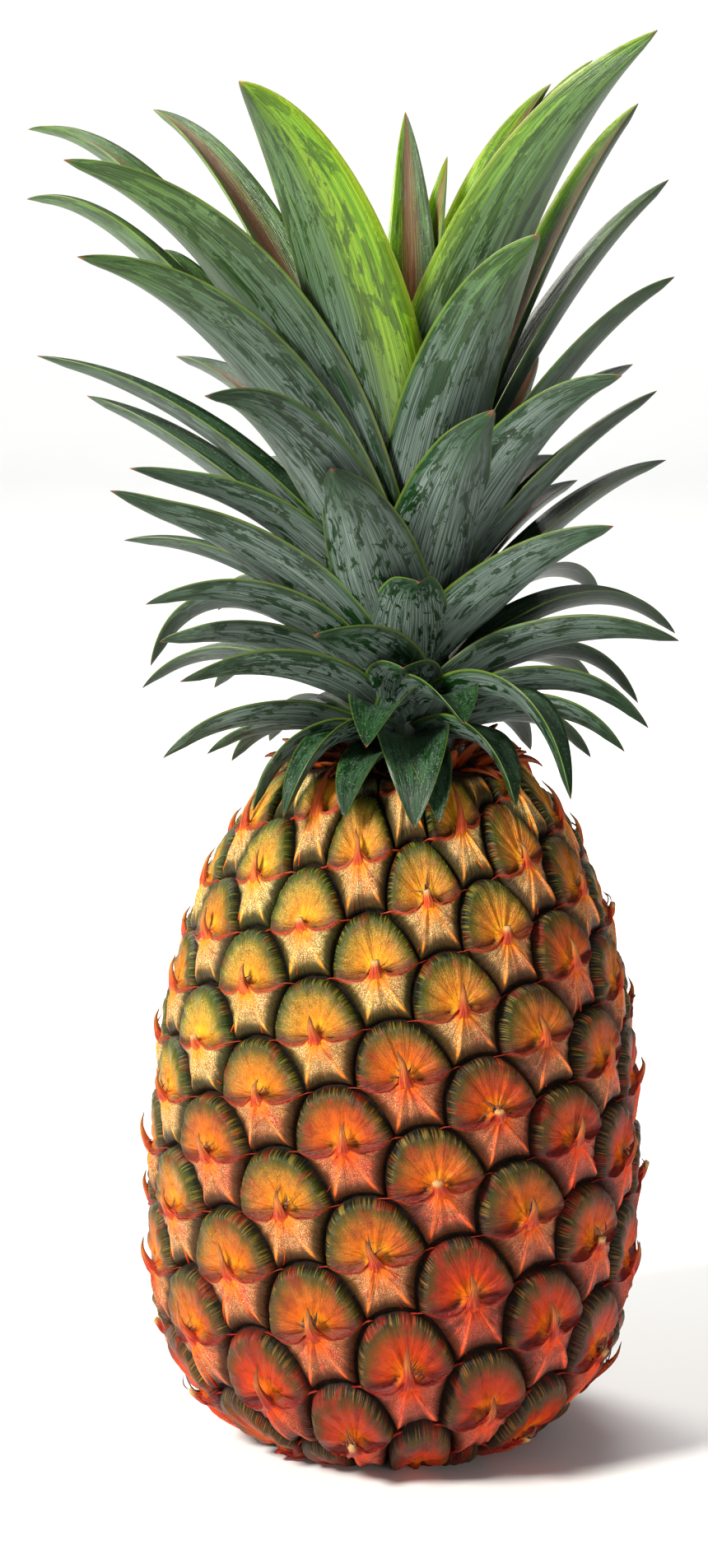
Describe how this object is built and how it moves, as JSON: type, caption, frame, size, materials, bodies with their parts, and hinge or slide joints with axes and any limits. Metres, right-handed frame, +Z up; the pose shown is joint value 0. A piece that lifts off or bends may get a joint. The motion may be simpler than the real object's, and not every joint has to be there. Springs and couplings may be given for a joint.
{
  "type": "pineapple",
  "caption": "Whole fresh pineapple with a crown of stiff pointed leaves and a spiral of raised eyes, standing upright on its flat cut base.",
  "frame": {"origin": "centre of the cut base, on the surface the fruit stands on", "axes": "+Z up along the fruit to its crown; -Y is the side seen in the picture; +X is to that view's right"},
  "size_m": [0.1693, 0.1529, 0.365],
  "materials": {
    "fruit_skin": "waxy, orange and brown with green rims to the eyes",
    "crown_leaf": "dark green under a dull grey-blue waxy bloom",
    "stalk_fibre": "dry pale fibre"
  },
  "bodies": {
    "root": {"fruit_body": "fruit_skin", "crown": "crown_leaf", "cut_stem": "stalk_fibre"}
  },
  "joints": []
}
